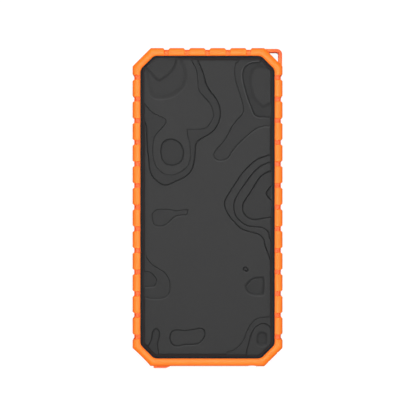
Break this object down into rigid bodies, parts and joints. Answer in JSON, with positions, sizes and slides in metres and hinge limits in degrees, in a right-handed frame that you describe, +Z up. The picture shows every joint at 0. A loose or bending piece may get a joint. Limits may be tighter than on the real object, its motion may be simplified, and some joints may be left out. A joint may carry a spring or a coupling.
{
  "type": "power bank",
  "caption": "Rugged power bank: rubber bumper with lanyard loop round a sealed case with two pouch cells, USB sockets behind a hinged flap, and a charge button.",
  "frame": {"origin": "middle of the bumper's outline, in the plane of the rear lip that the bank lies on", "axes": "+X across the body, +Y along it from the port end towards the lanyard loop, +Z up out of the front face"},
  "size_m": [0.082, 0.1753, 0.027],
  "materials": {
    "bumper_rubber": "fine matte orange rubber, slightly glossy on its crowns",
    "flap_rubber": "matte deep orange rubber",
    "case_plastic": "dark grey plastic with a fine moulded grain",
    "seal_rubber": "matte dark silicone",
    "steel": "plain steel",
    "socket_metal": "bright folded sheet",
    "brass": "knurled brass",
    "circuit_board": "green solder mask",
    "chip_black": "matte black moulding",
    "led_white": "small white lamps",
    "clear_plastic": "clear light guide, slightly milky",
    "tongue_white": "white moulding",
    "contact_gold": "gold plated contacts",
    "ferrite": "dark ferrite",
    "capacitor_metal": "bare metal cans and ceramic chips",
    "cell_foil": "matte silver pouch foil",
    "tape": "double sided tape",
    "foam": "closed cell foam",
    "polyimide": "amber film",
    "wire_insulation": "one red and one black wire"
  },
  "bodies": {
    "case": {"bumper": "bumper_rubber", "front_shell": "case_plastic", "rear_cover": "case_plastic", "cover_gasket": "seal_rubber", "cover_screws": "steel", "boss_inserts": "brass", "flap_hinge_web": "flap_rubber", "flap_anchor": "flap_rubber", "button_gasket": "seal_rubber", "switch_body": "socket_metal", "button_board": "circuit_board", "charge_leds": "led_white", "light_guide": "clear_plastic", "main_board": "circuit_board", "board_screws": "steel", "usb_a_shell_left": "socket_metal", "usb_a_shell_right": "socket_metal", "usb_a_tongue_left": "tongue_white", "usb_a_tongue_right": "tongue_white", "usb_c_shell": "socket_metal", "usb_c_tongue": "chip_black", "usb_contacts": "contact_gold", "inductors": "ferrite", "power_ics": "chip_black", "capacitors": "capacitor_metal", "ribbon_socket": "tongue_white", "cell_upper": "cell_foil", "cell_lower": "cell_foil", "cell_tape": "tape", "front_foam": "foam", "rear_foam": "foam", "cell_tabs": "steel", "protection_board": "circuit_board", "thermistor": "polyimide", "battery_leads": "wire_insulation", "button_ribbon": "polyimide"},
    "flap": {"port_flap": "flap_rubber", "flap_seal": "seal_rubber"},
    "button": {"power_button": "flap_rubber", "switch_plunger": "chip_black"}
  },
  "joints": [
    {"name": "flap_hinge", "type": "hinge", "parent": "case", "child": "flap", "pos_m": [0.0242, -0.0863, 0.0135], "axis": [0, 0, 1], "range_deg": [0, 110], "stiffness_Nm_per_rad": 0.004, "deforming": ["flap_hinge_web"]},
    {"name": "button_press", "type": "slide", "parent": "case", "child": "button", "axis": [-1, 0, 0], "range_m": [0, 0.0004], "stiffness_N_per_m": 2000}
  ]
}
